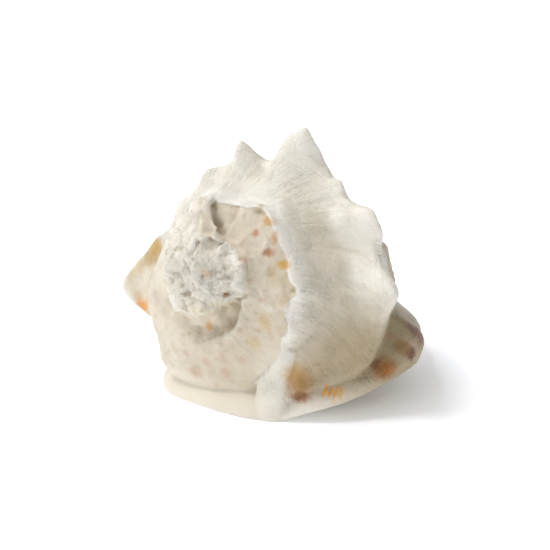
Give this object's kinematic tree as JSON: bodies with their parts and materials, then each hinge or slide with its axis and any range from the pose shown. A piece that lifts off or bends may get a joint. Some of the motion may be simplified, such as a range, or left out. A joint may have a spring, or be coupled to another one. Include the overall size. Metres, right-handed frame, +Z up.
{
  "type": "horned helmet shell",
  "caption": "Large heavy sea shell with a low knobbed spire, blunt shoulder horns, a thick flared lip and a narrow toothed mouth underneath.",
  "frame": {"origin": "middle of the bounding box in plan, at the flat underside", "axes": "+Z up, -Y towards the spire, +Y towards the front canal, +X towards the outer lip"},
  "size_m": [0.2312, 0.2454, 0.2069],
  "materials": {
    "shell": "dull cream shell, glazed on the lip and the underside"
  },
  "bodies": {
    "root": {"helmet_shell": "shell"}
  },
  "joints": []
}
